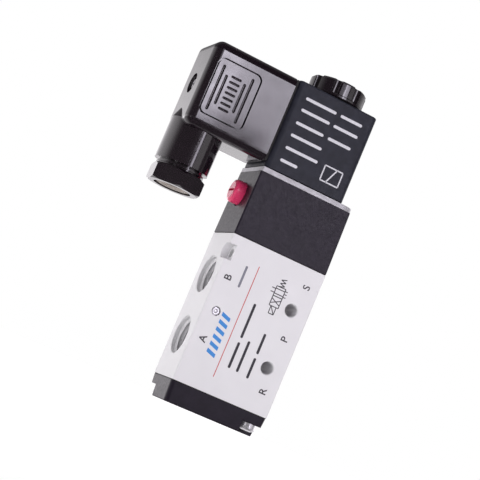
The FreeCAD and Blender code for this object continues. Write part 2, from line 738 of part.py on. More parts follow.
def coil():
    low = s.plate_top + 0.35
    seal = rectangle(s.tube_radius + 0.3, 8.0, s.plate_top + 0.02, low - 0.02)
    keep("coil_seal", turned("CoilSeal", seal))
    left, right = -s.coil_left, s.coil_right
    block = padded("CoilBlock", rectangle(left, right, -half_deep, half_deep), low, s.coil_top)
    soften(block, "Fillet", s.coil_round, upright)
    soften(block, "Fillet", 0.6, lambda edge: lowest(edge) > s.coil_top.value - 0.01)
    space_left, space_right, space_deep = -9.2, 11.4, 9.3
    space_low, space_high = 84.1, 111.2
    insert_radius, insert_long = 2.2, 5.0
    tools = [
        box((space_left, -space_deep, space_low), (space_right, space_deep, space_high)),
        cylinder(s.tube_radius + 0.25, space_low - low, (0, 0, low)),
        cylinder(s.tube_radius + 0.25, s.coil_top - space_high, (0, 0, space_high)),
        cylinder(insert_radius, insert_long, (left, 0, s.plug_screw_rise), "+x"),
    ]
    blades = []
    blade_end = -25.3
    for y, z, half_y, half_z in blade_places():
        tools.append(box((left, y - half_y, z - half_z), (space_left, y + half_y, z + half_z)))
        blades.append(box((blade_end, y - half_y, z - half_z), (space_left + 0.2, y + half_y, z + half_z)))
    keep("coil_housing", cut(block, tools))
    keep("coil_terminals", group(blades))
    insert = cut(
        cylinder(insert_radius, insert_long, (left, 0, s.plug_screw_rise), "+x"),
        [cylinder(s.screw_radius, insert_long, (left, 0, s.plug_screw_rise), "+x")],
    )
    keep("coil_insert", insert)

    plate, yoke_deep, wall = 2.0, 8.0, 9.3
    yoke_low, yoke_high, yoke_right = space_low + 0.1, space_high - 0.1, space_right - 0.2
    yoke_left = space_left + 0.3
    strap = fuse([
        box((yoke_left, -yoke_deep, yoke_low), (yoke_right, yoke_deep, yoke_low + plate)),
        box((yoke_left, -yoke_deep, yoke_high - plate), (yoke_right, yoke_deep, yoke_high)),
        box((wall, -yoke_deep, yoke_low), (yoke_right, yoke_deep, yoke_high)),
    ])
    tube_hole = s.tube_radius + 0.2
    holes = [cylinder(tube_hole, plate, (0, 0, height)) for height in (yoke_low, yoke_high - plate)]
    keep("magnet_yoke", cut(strap, holes))
    flange_low, flange_high, flange = yoke_low + plate + 0.1, yoke_high - plate - 0.1, 1.2
    inner, barrel, rim = s.tube_radius + 0.25, 5.8, 8.9
    bobbin = (
        (inner, flange_low), (rim, flange_low), (rim, flange_low + flange), (barrel, flange_low + flange),
        (barrel, flange_high - flange), (rim, flange_high - flange), (rim, flange_high), (inner, flange_high),
    )
    keep("coil_bobbin", turned("Bobbin", bobbin))
    winding = rectangle(barrel + 0.02, rim - 0.5, flange_low + flange + 0.02, flange_high - flange - 0.02)
    keep("coil_winding", turned("Winding", winding))


def coil_nut():
    washer_high = 0.5
    low = s.coil_top + washer_high
    keep("coil_washer", turned("Washer", rectangle(4.3, 8.6, s.coil_top + 0.02, low - 0.02)))
    bore = 4.0
    collar = 1.2
    bevel = 0.3
    lobe_radius = s.nut_radius - bevel
    body = turned("NutBlank", (
        (bore, low), (lobe_radius, low), (s.nut_radius, low + bevel), (s.nut_radius, low + collar - bevel),
        (lobe_radius, low + collar), (lobe_radius, s.nut_top - 0.7), (lobe_radius - 0.7, s.nut_top),
        (bore + 1.4, s.nut_top), (bore + 1.0, s.nut_top - 0.4), (bore, s.nut_top - 0.4),
    ))
    document.recompute()
    before = body.Shape.Volume
    lobes, first_flute, flute_radius = 8, math.radians(22.0), 1.6
    reach = s.nut_radius - 0.25
    sketch = new_sketch(body, "XY_Plane", low + collar)
    draw_circle(sketch, reach * math.cos(first_flute), reach * math.sin(first_flute), flute_radius)
    flute = body.newObject("PartDesign::Pocket", "Flute")
    flute.Profile = sketch
    drive(flute, "Length", s.nut_top - low)
    flute.Reversed = True
    pattern = body.newObject("PartDesign::PolarPattern", "Flutes")
    pattern.Originals = [flute]
    pattern.Axis = (sketch, ["N_Axis"])
    pattern.Angle = 360
    pattern.Occurrences = lobes
    body.Tip = pattern
    document.recompute()
    least_flute = 4.0
    if body.Shape.Volume > before - lobes * least_flute:
        raise RuntimeError("the coil nut has lost its flutes")
    keep("coil_nut", body)


# ---- connector ----------------------------------------------------------------------

def connector():
    left, right = -s.plug_left, -s.plug_right
    shell = padded("Shell", rectangle(left, right, -half_deep, half_deep), s.plug_low, s.plug_high)
    soften(shell, "Fillet", s.plug_round, lambda edge: leftmost(edge) < right.value - 1)
    cone_low, cone_high = 86.0, 90.0
    spigot_radius = 7.6
    spout = [
        cylinder(s.gland_radius, cone_low - s.gland_low, (-s.gland_x, 0, s.gland_low)),
        cone(s.gland_radius, spigot_radius, cone_high - cone_low, (-s.gland_x, 0, cone_low)),
        cylinder(spigot_radius, s.gland_low - s.spigot_low, (-s.gland_x, 0, s.spigot_low)),
        cylinder(spigot_radius + 0.7, 0.5, (-s.gland_x, 0, s.hex_high + 0.5)),
    ]
    whole = fuse([shell] + spout)
    wall = 1.9
    space_low = s.plug_low + wall
    cable_bore, lead_in = 6.4, 0.9
    hollow = [
        box((left + wall, wall - half_deep, space_low), (right, half_deep - wall, s.plug_high - wall)),
        cylinder(cable_bore, space_low + 0.1 - s.spigot_low, (-s.gland_x, 0, s.spigot_low)),
        cone(cable_bore + lead_in, cable_bore, lead_in, (-s.gland_x, 0, s.spigot_low)),
    ]
    post_end = -36.2
    post = cylinder(4.7, post_end - left - 0.5, (left + 0.5, 0, s.plug_screw_rise), "+x")
    recess_deep = 3.0
    with_post = fuse([cut(whole, hollow), post])
    recess = [
        cylinder(3.5, recess_deep, (left, 0, s.plug_screw_rise), "+x"),
        cylinder(s.screw_radius + 0.2, post_end - left, (left, 0, s.plug_screw_rise), "+x"),
    ]
    keep("connector_housing", cut(with_post, recess + panel_grooves()))

    seal_thick = 0.6
    seal_at = (left + recess_deep - seal_thick, 0, s.plug_screw_rise)
    seal = cut(cylinder(3.0, seal_thick, seal_at, "+x"), [cylinder(1.6, seal_thick, seal_at, "+x")])
    keep("connector_screw_seal", seal)
    head_high = 1.7
    screw_at = (left + recess_deep - seal_thick - head_high, 0, s.plug_screw_rise)
    screw_long = s.plug_left - s.coil_left - recess_deep + seal_thick + 4.5
    keep("connector_screw", cross_head_screw(screw_at, "+x", 2.85, head_high, screw_long))

    gasket_gap = 0.05
    gasket = box(
        (right + gasket_gap, -half_deep + 0.6, s.plug_low + 0.6),
        (-s.coil_left - gasket_gap, half_deep - 0.6, s.plug_high - 0.6),
    )
    openings = [cylinder(2.0, 2.0, (right, 0, s.plug_screw_rise), "+x")]
    room = 0.3
    for y, z, half_y, half_z in blade_places():
        low = (right, y - half_y - room, z - half_z - room)
        high = (-s.coil_left, y + half_y + room, z + half_z + room)
        openings.append(box(low, high))
    keep("connector_gasket", cut(gasket, openings))
    contact_carrier(right, post_end, wall)


def panel_grooves():
    """A framed rectangle with four upright grooves and a ladder of short ones, on the front face."""
    deep, line = 1.0, 0.6
    left, right, low, high, corner = -44.95, -28.7, 88.7, 108.6, 2.5
    face = -half_deep
    outer = rounded_slab(left, right, low, high, face, deep, corner)
    inner = rounded_slab(left + line, right - line, low + line, high - line, face, deep, corner - line)
    grooves = [cut(outer, [inner])]
    tall, short = (91.0, 105.9), (93.8, 103.2)
    for x, (start, end) in ((-42.4, tall), (-40.5, short), (-33.75, short), (-31.8, tall)):
        grooves.append(round_groove((x, face, start), end - start, "+z", 0.5))
    rungs, first_rung, rung_pitch, rung_left, rung_long = 7, 92.8, 1.85, -38.6, 3.0
    for index in range(rungs):
        at = (rung_left, face, first_rung + rung_pitch * index)
        grooves.append(round_groove(at, rung_long, "+x", 0.42))
    return grooves


def round_groove(start, long, axis, radius):
    """The cutter of a half-round groove with round ends, lying on the face."""
    x, y, z = start
    end = (x + long, y, z) if axis == "+x" else (x, y, z + long)
    ends = [primitive("Sphere", {"Radius": radius}, at) for at in (start, end)]
    return fuse([cylinder(radius, long, start, axis)] + ends)


def rounded_slab(left, right, low, high, face, deep, corner):
    """A slab let into a face that looks along -Y, with round corners."""
    body = new_body("Slab")
    sketch = draw_outline(new_sketch(body, "XZ_Plane", -face - deep), rectangle(left, right, low, high))
    pad = body.newObject("PartDesign::Pad", "Pad")
    pad.Profile = sketch
    pad.Length = deep + 1.0
    document.recompute()
    return soften(body, "Fillet", corner, lambda edge: abs(edge.Vertexes[0].Y - edge.Vertexes[-1].Y) > 0.5)


def contact_carrier(right, post_end, wall):
    """The block that holds a clamp contact with its screw for each of the coil's blades."""
    play = 0.15
    block_left, block_right = post_end + 0.1, right - 0.1
    block_deep = half_deep - wall - play
    block = box(
        (block_left, -block_deep, s.plug_low + wall + play),
        (block_right, block_deep, s.plug_high - wall - play),
    )
    long = block_right - block_left
    tools = [cylinder(s.screw_radius + 0.3, long, (block_left, 0, s.plug_screw_rise), "+x")]
    pocket_end, blade_end, gap = -27.9, -25.5, 0.05
    head_radius, head_high, shank_radius, shank_long = 1.8, 1.5, 0.98, 3.3
    slot_half, slot_deep = 0.25, 0.7
    thin, thick = 0.55, 1.7
    contacts, screws = [], []
    for y, z, half_y, half_z in blade_places():
        pocket_y = half_y + (thick if half_y < half_z else thin)
        pocket_z = half_z + (thin if half_y < half_z else thick)
        tools.append(box((pocket_end, y - pocket_y, z - pocket_z), (block_right, y + pocket_y, z + pocket_z)))
        clamp = box(
            (pocket_end + gap, y - pocket_y + gap, z - pocket_z + gap),
            (block_right - 0.5, y + pocket_y - gap, z + pocket_z - gap),
        )
        blade_slot = box(
            (blade_end, y - half_y - gap, z - half_z - gap),
            (block_right, y + half_y + gap, z + half_z + gap),
        )
        contacts.append(cut(clamp, [blade_slot, cylinder(1.0, 2.0, (pocket_end + gap, y, z), "+x")]))
        tools.append(cylinder(head_radius + 0.1, pocket_end - block_left, (block_left, y, z), "+x"))
        head_left = pocket_end - head_high - 0.1
        head = cylinder(head_radius, head_high, (head_left, y, z), "+x")
        shank = cylinder(shank_radius, shank_long, (head_left, y, z), "+x")
        reach = head_radius + gap
        slot_low = (head_left, y - slot_half, z - reach)
        slot_high = (head_left + slot_deep, y + slot_half, z + reach)
        screws.append(cut(fuse([head, shank]), [box(slot_low, slot_high)]))
    keep("contact_carrier", cut(block, tools))
    keep("clamp_contacts", group(contacts))
    keep("clamp_screws", group(screws))


def gland():
    axis = (-s.gland_x, 0, 0)
    neck_radius, neck_low, body_radius = 6.0, s.hex_low + 0.4, 6.35
    shoulder, top, lip = 76.0, 76.8, 0.7
    grommet = (
        (s.cable_radius, neck_low + lip), (s.cable_radius + lip, neck_low), (neck_radius - 0.4, neck_low),
        (neck_radius, neck_low + 0.4), (neck_radius, s.spigot_low), (body_radius - 0.15, s.spigot_low + 0.1),
        (body_radius, s.spigot_low + lip), (body_radius, shoulder), (body_radius - 0.75, top),
        (s.cable_radius, top),
    )
    keep("gland_grommet", turned("Grommet", grommet, axis))
    washer = rectangle(neck_radius + 0.1, 7.2, s.gland_seat + 0.02, s.spigot_low - 0.05)
    keep("gland_washer", turned("GlandWasher", washer, axis))
    corner = s.hex_flats / math.sqrt(3)
    sides, first_corner = 6, 27
    points = []
    for index in range(sides):
        turn = math.radians(360 / sides * index + first_corner)
        points.append((corner * math.cos(turn), corner * math.sin(turn)))
    blank = place(padded("HexBlank", points, s.hex_low, s.hex_high), axis)
    flats_radius = s.hex_flats / 2
    low_chamfer, high_chamfer, spread, inset = 0.6, 1.1, 1.4, 0.2
    outer = flats_radius + spread
    turned_form = turned("NutForm", (
        (0, s.hex_low), (flats_radius + inset, s.hex_low), (outer, s.hex_low + low_chamfer),
        (outer, s.hex_high - high_chamfer), (flats_radius - inset, s.hex_high), (0, s.hex_high),
    ), axis)
    form = document.addObject("Part::Common", "Form")
    form.Base = blank
    form.Tool = turned_form
    document.recompute()
    mouth_radius, thread_radius = 6.5, 7.75
    tools = [
        cylinder(mouth_radius, s.gland_seat - s.hex_low, (-s.gland_x, 0, s.hex_low)),
        cylinder(thread_radius, s.hex_high - s.gland_seat, (-s.gland_x, 0, s.gland_seat)),
    ]
    keep("gland_nut", cut(form, tools))


# ---- assembly -----------------------------------------------------------------------

def check_and_write():
    document.recompute()
    for thing in document.Objects:
        if "Invalid" in thing.State or "Error" in thing.State:
            raise RuntimeError(f"{thing.Name} ({thing.Label}) failed: {thing.State}")
    os.makedirs("parts", exist_ok=True)
    for label, thing in nodes.items():
        shape = thing.Shape
        if shape.isNull() or not shape.isValid() or not shape.Solids:
            raise RuntimeError(f"{label} has no valid solid")
        shape.exportStep(os.path.join("parts", f"{label}.step"))
        bounds = shape.BoundBox
        print(f"{label:22s} solids {len(shape.Solids)} volume {shape.Volume:9.1f} "
              f"x {bounds.XMin:7.2f} {bounds.XMax:7.2f} y {bounds.YMin:7.2f} {bounds.YMax:7.2f} "
              f"z {bounds.ZMin:7.2f} {bounds.ZMax:7.2f}")
    print(len(nodes), "nodes")


valve_body()
end_cover()
flat_gasket("end_cover_gasket", s.cover_top, 6.2, end_screw_places(0))
end_cover_screws()
spool()
pilot_piston()
flat_gasket("pilot_gasket", s.body_top, 8.2, pilot_screw_places(0), [(-s.gallery_x, s.gallery_y, 0.9)])
pilot_body()
override()
pilot_screws()
flange_plate()
armature()
coil()
coil_nut()
connector()
gland()
check_and_write()
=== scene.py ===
"""The looks of the solenoid directional valve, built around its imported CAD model.

Metres, in the CAD model's frame: +Z runs up the spool, -Y is the printed face.
"""

import json
import math

import bpy
from mathutils import Matrix, Vector


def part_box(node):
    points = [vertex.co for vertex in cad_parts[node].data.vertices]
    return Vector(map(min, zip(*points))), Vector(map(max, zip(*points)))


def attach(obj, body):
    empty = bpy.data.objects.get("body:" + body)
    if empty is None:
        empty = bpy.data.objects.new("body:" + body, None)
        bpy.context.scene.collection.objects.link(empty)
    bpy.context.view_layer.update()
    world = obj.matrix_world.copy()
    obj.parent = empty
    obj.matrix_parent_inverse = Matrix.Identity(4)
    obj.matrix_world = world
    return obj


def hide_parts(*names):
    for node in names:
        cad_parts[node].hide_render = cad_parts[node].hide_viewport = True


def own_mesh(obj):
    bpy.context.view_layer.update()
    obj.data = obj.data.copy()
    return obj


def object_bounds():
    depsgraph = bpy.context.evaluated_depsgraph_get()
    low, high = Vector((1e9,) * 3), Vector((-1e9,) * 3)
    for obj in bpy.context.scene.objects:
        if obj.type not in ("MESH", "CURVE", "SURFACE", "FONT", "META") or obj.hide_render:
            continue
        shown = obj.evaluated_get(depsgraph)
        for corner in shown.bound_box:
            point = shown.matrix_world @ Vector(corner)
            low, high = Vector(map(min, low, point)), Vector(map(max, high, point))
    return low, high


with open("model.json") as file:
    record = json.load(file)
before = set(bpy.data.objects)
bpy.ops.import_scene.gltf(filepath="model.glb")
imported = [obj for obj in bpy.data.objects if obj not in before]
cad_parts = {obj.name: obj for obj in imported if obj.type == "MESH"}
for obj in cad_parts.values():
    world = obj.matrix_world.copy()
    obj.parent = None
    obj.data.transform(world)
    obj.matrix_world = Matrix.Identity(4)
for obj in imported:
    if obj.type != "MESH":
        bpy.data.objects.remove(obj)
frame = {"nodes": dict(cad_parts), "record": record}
cad_low, cad_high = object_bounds()
MM = 0.001
NODES = frame["nodes"]


# ---- materials ----------------------------------------------------------------------

NOISE_LOW, NOISE_HIGH = 0.3, 0.7  # the middle of a noise, where most of its values lie


class Surface:
    """A Principled material whose colour, gloss and relief come from noise at real scale."""

    def __init__(self, name, colour, roughness, **sockets):
        self.material = bpy.data.materials.new(name)
        self.material.use_nodes = True
        self.tree = self.material.node_tree
        self.shader = next(node for node in self.tree.nodes if node.type == "BSDF_PRINCIPLED")
        self.colour = colour
        self.shader.inputs["Base Color"].default_value = (*colour, 1)
        self.shader.inputs["Roughness"].default_value = roughness
        for socket, value in sockets.items():
            self.shader.inputs[socket.replace("_", " ")].default_value = value
        self.place = self.tree.nodes.new("ShaderNodeTexCoord").outputs["Object"]
        self.normal = None

    def link(self, output, socket):
        self.tree.links.new(output, socket)

    def noise(self, size_mm, detail=3.0, stretch=(1, 1, 1)):
        """Noise whose features are about size_mm, drawn out along an axis by stretch."""
        mapping = self.tree.nodes.new("ShaderNodeMapping")
        mapping.inputs["Scale"].default_value = [1 / (size_mm * MM * part) for part in stretch]
        self.link(self.place, mapping.inputs["Vector"])
        texture = self.tree.nodes.new("ShaderNodeTexNoise")
        texture.inputs["Scale"].default_value = 1.0
        texture.inputs["Detail"].default_value = detail
        self.link(mapping.outputs["Vector"], texture.inputs["Vector"])
        return texture.outputs["Fac"]

    def spread(self, fac, low, high):
        """Maps the middle of a noise to a range of values."""
        spread = self.tree.nodes.new("ShaderNodeMapRange")
        spread.inputs["From Min"].default_value = NOISE_LOW
        spread.inputs["From Max"].default_value = NOISE_HIGH
        spread.inputs["To Min"].default_value = low
        spread.inputs["To Max"].default_value = high
        self.link(fac, spread.inputs["Value"])
        return spread.outputs["Result"]

    def mottle(self, fac, amount):
        """Varies the colour's brightness by a share of itself, up and down."""
        ramp = self.tree.nodes.new("ShaderNodeValToRGB")
        for element, side in zip(ramp.color_ramp.elements, (1 - amount, 1 + amount)):
            element.color = (*[min(1.0, part * side) for part in self.colour], 1)
        ramp.color_ramp.elements[0].position = NOISE_LOW
        ramp.color_ramp.elements[1].position = NOISE_HIGH
        self.link(fac, ramp.inputs["Fac"])
        self.link(ramp.outputs["Color"], self.shader.inputs["Base Color"])

    def gloss(self, fac, low, high):
        self.link(self.spread(fac, low, high), self.shader.inputs["Roughness"])

    def relief(self, fac, depth_mm, strength=1.0):
        """Adds a bump of about depth_mm on top of any relief there is."""
        bump = self.tree.nodes.new("ShaderNodeBump")
        bump.inputs["Distance"].default_value = depth_mm * MM
        bump.inputs["Strength"].default_value = strength
        self.link(fac, bump.inputs["Height"])
        if self.normal is not None:
            self.link(self.normal, bump.inputs["Normal"])
        self.normal = bump.outputs["Normal"]
        self.link(self.normal, self.shader.inputs["Normal"])

    def soft_edges(self, radius_mm):
        """Rounds sharp edges as seen by the light."""
        bevel = self.tree.nodes.new("ShaderNodeBevel")
        bevel.samples = 4
        bevel.inputs["Radius"].default_value = radius_mm * MM
        self.normal = bevel.outputs["Normal"]
        self.link(self.normal, self.shader.inputs["Normal"])


def anodised_aluminium():
    made = Surface("anodised_aluminium", (0.74, 0.735, 0.75), 0.5, Metallic=0.1)
    made.soft_edges(0.12)
    made.mottle(made.noise(9.0, 2.0), 0.015)
    made.gloss(made.noise(0.6, 4.0), 0.46, 0.56)
    made.relief(made.noise(0.14, 3.0), 0.004, 0.5)
    return made.material


def moulded_plastic():
    made = Surface("moulded_plastic", (0.013, 0.009, 0.018), 0.38, Specular_IOR_Level=0.38)
    made.soft_edges(0.15)
    made.mottle(made.noise(3.0, 4.0), 0.15)
    made.gloss(made.noise(0.8, 4.0), 0.34, 0.46)
    made.relief(made.noise(0.22, 3.0), 0.006, 0.6)
    return made.material


def coil_plastic():
    made = Surface("coil_plastic", (0.018, 0.019, 0.029), 0.5, Specular_IOR_Level=0.4)
    made.soft_edges(0.15)
    made.mottle(made.noise(2.0, 4.0), 0.2)
    made.gloss(made.noise(1.0, 4.0), 0.42, 0.56)
    made.relief(made.noise(0.3, 4.0), 0.008, 0.6)
    return made.material


def glossy_plastic():
    made = Surface("glossy_plastic", (0.010, 0.006, 0.009), 0.14, Specular_IOR_Level=0.7, Coat_Weight=0.7,
                   Coat_Roughness=0.06)
    made.gloss(made.noise(5.0, 3.0), 0.10, 0.2)
    made.relief(made.noise(7.0, 2.0), 0.02, 0.5)
    return made.material


def carrier_plastic():
    made = Surface("carrier_plastic", (0.09, 0.09, 0.10), 0.45)
    made.mottle(made.noise(1.5), 0.1)
    made.relief(made.noise(0.25), 0.006, 0.5)
    return made.material


def natural_plastic():
    made = Surface("natural_plastic", (0.70, 0.66, 0.58), 0.42)
    made.mottle(made.noise(2.0), 0.04)
    made.relief(made.noise(0.3), 0.005, 0.5)
    return made.material


def red_plastic():
    made = Surface("red_plastic", (0.80, 0.05, 0.16), 0.3, Coat_Weight=0.3, Coat_Roughness=0.1)
    made.soft_edges(0.15)
    made.mottle(made.noise(1.5, 3.0), 0.08)
    made.gloss(made.noise(0.7, 3.0), 0.18, 0.32)
    made.relief(made.noise(0.4, 3.0), 0.006, 0.5)
    return made.material


def plated_steel():
    made = Surface("plated_steel", (0.74, 0.73, 0.76), 0.36, Metallic=0.75)
    made.soft_edges(0.08)
    made.mottle(made.noise(2.5, 4.0), 0.05)
    made.gloss(made.noise(0.5, 4.0, stretch=(8, 1, 1)), 0.2, 0.36)
    made.relief(made.noise(0.1, 3.0, stretch=(14, 1, 1)), 0.002, 0.5)
    return made.material


def zinc_plate():
    made = Surface("zinc_plate", (0.56, 0.55, 0.58), 0.5, Metallic=0.5)
    made.soft_edges(0.12)
    made.mottle(made.noise(2.0, 4.0), 0.08)
    made.gloss(made.noise(0.6, 4.0, stretch=(4, 1, 1)), 0.42, 0.58)
    made.relief(made.noise(0.16, 3.0, stretch=(6, 1, 1)), 0.003, 0.5)
    return made.material


def turned_steel():
    made = Surface("turned_steel", (0.66, 0.655, 0.66), 0.24, Metallic=1.0)
    made.gloss(made.noise(0.4, 3.0, stretch=(8, 8, 0.3)), 0.18, 0.32)
    made.relief(made.noise(0.12, 2.0, stretch=(20, 20, 1)), 0.002, 0.5)
    return made.material


def spring_wire():
    made = Surface("spring_wire", (0.48, 0.48, 0.50), 0.3, Metallic=1.0)
    made.gloss(made.noise(0.3, 3.0), 0.24, 0.4)
    made.relief(made.noise(0.08, 2.0), 0.002, 0.5)
    return made.material


def turned_alloy():
    made = Surface("turned_alloy", (0.78, 0.79, 0.82), 0.28, Metallic=1.0)
    made.gloss(made.noise(0.5, 3.0, stretch=(8, 8, 0.3)), 0.2, 0.34)
    made.relief(made.noise(0.15, 2.0, stretch=(20, 20, 1)), 0.002, 0.5)
    return made.material


def brass():
    made = Surface("brass", (0.72, 0.50, 0.22), 0.28, Metallic=1.0)
    made.mottle(made.noise(1.0), 0.06)
    made.gloss(made.noise(0.4), 0.22, 0.36)
    made.relief(made.noise(0.12), 0.002, 0.5)
    return made.material


def copper_wire():
    made = Surface("copper_wire", (0.62, 0.24, 0.10), 0.3, Metallic=1.0)
    made.mottle(made.noise(0.5, stretch=(20, 20, 0.4)), 0.15)
    made.relief(made.noise(0.16, 1.0, stretch=(60, 60, 1)), 0.03, 0.8)
    return made.material


def black_rubber():
    made = Surface("black_rubber", (0.022, 0.021, 0.022), 0.6, Specular_IOR_Level=0.35)
    made.gloss(made.noise(0.6), 0.52, 0.7)
    made.relief(made.noise(0.2), 0.006, 0.6)
    return made.material


def grey_rubber():
    made = Surface("grey_rubber", (0.34, 0.30, 0.27), 0.6, Specular_IOR_Level=0.35)
    made.mottle(made.noise(1.5), 0.08)
    made.gloss(made.noise(0.6), 0.5, 0.7)
    made.relief(made.noise(0.25), 0.01, 0.6)
    return made.material


def guide_polymer():
    made = Surface("guide_polymer", (0.82, 0.80, 0.74), 0.4)
    made.mottle(made.noise(1.0), 0.04)
    made.relief(made.noise(0.2), 0.004, 0.5)
    return made.material


def ink(name, colour):
    made = Surface(name, colour, 0.5)
    made.mottle(made.noise(0.5, 3.0), 0.06)
    made.relief(made.noise(0.12, 2.0), 0.003, 0.5)
    return made.material


SLOT_MATERIALS = {
    "anodised_aluminium": anodised_aluminium(),
    "pilot_plastic": moulded_plastic(),
    "coil_plastic": coil_plastic(),
    "plug_plastic": glossy_plastic(),
    "carrier_plastic": carrier_plastic(),
    "bobbin_plastic": natural_plastic(),
    "override_red": red_plastic(),
    "steel": plated_steel(),
    "zinc_plate": zinc_plate(),
    "spring_steel": spring_wire(),
    "stainless": turned_steel(),
    "spool_metal": turned_alloy(),
    "brass": brass(),
    "copper": copper_wire(),
    "black_rubber": black_rubber(),
    "grey_rubber": grey_rubber(),
    "guide_plastic": guide_polymer(),
}


def dress_nodes():
    """Gives every CAD node the material of its slot."""
    for part in frame["record"]["subparts"]:
        thing = NODES[part["node"]]
        thing.data.materials.clear()
        thing.data.materials.append(SLOT_MATERIALS[part["material_slot"]])


# ---- helpers ------------------------------------------------------------------------

def mesh_piece(name, points, faces, material, body):
    """A mesh that rides on a CAD body and takes the material it is given."""
    mesh = bpy.data.meshes.new(name)
    mesh.from_pydata(points, [], faces)
    mesh.validate()
    mesh.update()
    mesh.materials.append(material)
    piece = bpy.data.objects.new(name, mesh)
    bpy.context.scene.collection.objects.link(piece)
    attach(piece, body)


# ---- springs ------------------------------------------------------------------------

SPRINGS = (
    # node, body it rides, joint that squeezes it, along, where it stands still, travel in mm
    ("return_spring", "valve", "spool_slide", (0, 0, 1), "low", 3.0),
    ("plunger_spring", "plunger", "plunger_lift", (0, 0, 1), "low", 1.0),
    ("override_spring", "valve", "override_push", (1, 0, 0), "high", 1.5),
)


def working_springs():
    """Each CAD spring again, as a copy with a mesh of its own that rides on its body, in place of the hidden
    CAD spring.
    """
    for node, body, joint, along, still, travel in SPRINGS:
        source = NODES[node]
        spring = bpy.data.objects.new(node + "_working", source.data.copy())
        spring.matrix_world = source.matrix_world.copy()
        bpy.context.scene.collection.objects.link(spring)
        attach(spring, body)
        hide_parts(node)
        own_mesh(spring)


# ---- port threads -------------------------------------------------------------------

QUARTER_PITCH, EIGHTH_PITCH = 1.337 * MM, 0.907 * MM
PORT_PITCHES = {
    "outlet_a": QUARTER_PITCH, "outlet_b": QUARTER_PITCH, "supply_p": QUARTER_PITCH,
    "exhaust_r": EIGHTH_PITCH, "exhaust_s": EIGHTH_PITCH,
}
RIDGE_HIGH = 0.6  # share of the pitch
RIDGE_SUNK = 0.05 * MM
STEPS_PER_TURN = 64
MOUTH_CHAMFER = 0.15 * MM
CLEAR_TURNS = 1.2  # of plain bore, over both ends


def thread_ridge(name, mouth, inward, wall, pitch, high, long):
    """A helical ridge on the wall of a port. inward is the unit direction into the port."""
    inward = Vector(inward)
    across = inward.orthogonal().normalized()
    upright = inward.cross(across)
    steps = int(long / pitch * STEPS_PER_TURN)
    # Shares of the pitch along the port, and heights off its wall.
    profile = ((-0.46, -RIDGE_SUNK), (-0.07, high), (0.07, high), (0.46, -RIDGE_SUNK))
    points, faces = [], []
    for step in range(steps + 1):
        turn = 2 * math.pi * step / STEPS_PER_TURN
        fade = min(1.0, 3 * step / STEPS_PER_TURN, 3 * (steps - step) / STEPS_PER_TURN)
        outward = across * math.cos(turn) + upright * math.sin(turn)
        along = long * step / steps + pitch / 2
        for shift, rise in profile:
            radius = wall - (rise * fade if rise > 0 else rise)
            points.append(Vector(mouth) + inward * (along + shift * pitch) + outward * radius)
    count = len(profile)
    for step in range(steps):
        for corner in range(count):
            following = (corner + 1) % count
            first, second = step * count, (step + 1) * count
            faces.append((first + corner, second + corner, second + following, first + following))
    faces.append(tuple(range(count)))
    faces.append(tuple(steps * count + corner for corner in reversed(range(count))))
    material = SLOT_MATERIALS["anodised_aluminium"]
    mesh_piece(name, points, faces, material, "valve")


def port_threads():
    mounts = {mount["name"]: mount for mount in frame["record"]["mounts"]}
    block_low, block_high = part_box("valve_body")
    for name, pitch in PORT_PITCHES.items():
        mount = mounts[name]
        side = 1 if mount["axis"][0] > 0 else -1
        face = block_high[0] if side > 0 else block_low[0]
        mouth = (face - side * MOUTH_CHAMFER, mount["pos_m"][1], mount["pos_m"][2])
        long = mount["dims"]["length_mm"] * MM - CLEAR_TURNS * pitch
        wall = mount["dims"]["r_mm"] * MM
        thread_ridge(f"{name}_thread", mouth, (-side, 0, 0), wall, pitch, RIDGE_HIGH * pitch, long)


# ---- printing -----------------------------------------------------------------------

INK_THICK = 0.02 * MM
LETTER_WEIGHT = 0.05 * MM  # how far a letter's outline grows


class Print:
    """Flat marks of one ink on a face that looks along -Y, gathered in one piece."""

    def __init__(self, name, material, body, slot, face_y):
        self.name, self.material, self.body, self.slot = name, material, body, slot
        self.face_y = face_y
        self.points, self.faces = [], []

    def patch(self, outline):
        """A convex patch through (x, z) points in millimetres, anticlockwise as seen from -Y."""
        first = len(self.points)
        count = len(outline)
        for lift in (-INK_THICK, INK_THICK):
            for x, z in outline:
                self.points.append((x * MM, self.face_y + lift, z * MM))
        self.faces.append(tuple(first + index for index in range(count)))
        self.faces.append(tuple(first + count + index for index in reversed(range(count))))
        for index in range(count):
            following = (index + 1) % count
            back = first + count
            self.faces.append((first + index, back + index, back + following, first + following))

    def bar(self, left, right, low, high):
        self.patch(((left, low), (right, low), (right, high), (left, high)))

    def rounded_bar(self, left, right, low, high):
        """A bar whose shorter sides are half round."""
        radius = min(right - left, high - low) / 2
        outline = []
        for x, z, start in ((right - radius, low + radius, -90), (right - radius, high - radius, 0),
                            (left + radius, high - radius, 90), (left + radius, low + radius, 180)):
            for turn in range(start, start + 91, 18):
                angle = math.radians(turn)
                outline.append((x + radius * math.cos(angle), z + radius * math.sin(angle)))
        self.patch(outline)

    def stroke(self, start, end, wide):
        """A straight line of ink."""
        run = Vector(end) - Vector(start)
        side = Vector((-run.y, run.x)).normalized() * wide / 2
        start, end = Vector(start), Vector(end)
        self.patch([tuple(start - side), tuple(end - side), tuple(end + side), tuple(start + side)])

    def path(self, points, wide):
        for start, end in zip(points, points[1:]):
            self.stroke(start, end, wide)

    def finish(self):
        mesh_piece(self.name, self.points, self.faces, self.material, self.body)


def ruled_text(sheet, place, words, high, advance, upward):
    """A row of rounded bars, one for each word, that stands for printing with no letters in it.

    upward rows run along +Z with their tops towards -X; other rows run along +X.
    """
    x, z = place
    run = 0.0
    for letters in words:
        wide = letters * advance
        if upward:
            sheet.rounded_bar(x - high, x, z + run, z + run + wide)
        else:
            sheet.rounded_bar(x + run, x + run + wide, z, z + high)
        run += wide + advance


